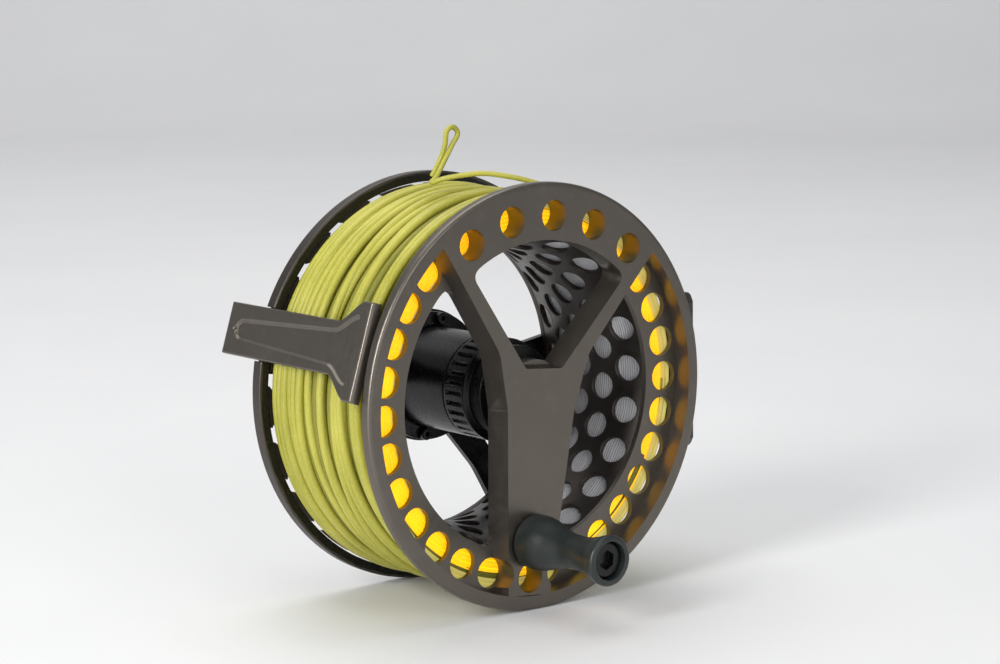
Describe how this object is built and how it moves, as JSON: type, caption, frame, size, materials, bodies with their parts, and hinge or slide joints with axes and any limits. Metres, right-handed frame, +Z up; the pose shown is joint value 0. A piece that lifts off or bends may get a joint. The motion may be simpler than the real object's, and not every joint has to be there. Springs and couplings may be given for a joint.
{
  "type": "fly fishing reel",
  "caption": "Large-arbor fly reel with a perforated spool, a wishbone face, a turning handle, a drag knob inside the arbor and a cantilevered foot.",
  "frame": {"origin": "middle of the floor of the pocket in the foot's outer face", "axes": "+Y along the spindle from the handle side to the back of the frame, +Z up, foot on the -X side"},
  "size_m": [0.1047, 0.0852, 0.1122],
  "materials": {
    "gunmetal": "satin anodised",
    "dark_gunmetal": "dark satin anodised",
    "black_anodised": "gloss black anodised",
    "black_plastic": "satin",
    "steel": "machined",
    "bronze": "machined",
    "friction_liner": "matt",
    "rubber": "matt",
    "white_backing": "braided",
    "orange_running_line": "satin",
    "green_fly_line": "satin"
  },
  "bodies": {
    "frame": {"frame": "dark_gunmetal", "foot": "gunmetal", "foot_screw_1": "steel", "foot_screw_2": "steel", "rim_guard": "dark_gunmetal", "rim_guard_screw_1": "steel", "rim_guard_screw_2": "steel", "drag_housing": "black_anodised", "housing_screw_1": "black_anodised", "housing_screw_2": "black_anodised", "housing_screw_3": "black_anodised", "housing_screw_4": "black_anodised", "housing_seal": "rubber", "friction_liner": "friction_liner", "spindle": "steel", "spindle_nut": "steel", "drag_spring": "steel", "fly_line_end": "green_fly_line"},
    "plate": {"pressure_plate": "steel"},
    "knob": {"drag_knob": "black_anodised"},
    "spool": {"spool_face": "gunmetal", "spool_arbor": "dark_gunmetal", "spool_back_flange": "dark_gunmetal", "spool_bearing": "steel", "drive_sleeve": "steel", "one_way_clutch": "steel", "drag_cone": "bronze", "backing_winding": "white_backing", "running_line_winding": "orange_running_line", "fly_line_winding": "green_fly_line", "handle_pin": "black_anodised"},
    "handle": {"handle_grip": "black_plastic"}
  },
  "joints": [
    {"name": "spool_spin", "type": "hinge", "parent": "frame", "child": "spool", "pos_m": [0.04777, -0.008, -0.01442], "axis": [0, 1, 0], "continuous": true},
    {"name": "handle_turn", "type": "hinge", "parent": "spool", "child": "handle", "pos_m": [0.04503, -0.044, -0.04781], "axis": [0, -1, 0], "continuous": true},
    {"name": "drag_knob_turn", "type": "hinge", "parent": "frame", "child": "knob", "pos_m": [0.04777, -0.012, -0.01442], "axis": [0, 1, 0], "range_deg": [0, 300]},
    {"name": "drag_plate_press", "type": "slide", "parent": "frame", "child": "plate", "axis": [0, 1, 0], "range_m": [0, 0.0006]}
  ],
  "couplings": [
    {"joint": "drag_plate_press", "follows": "drag_knob_turn", "m_per_rad": 0.0001145}
  ]
}
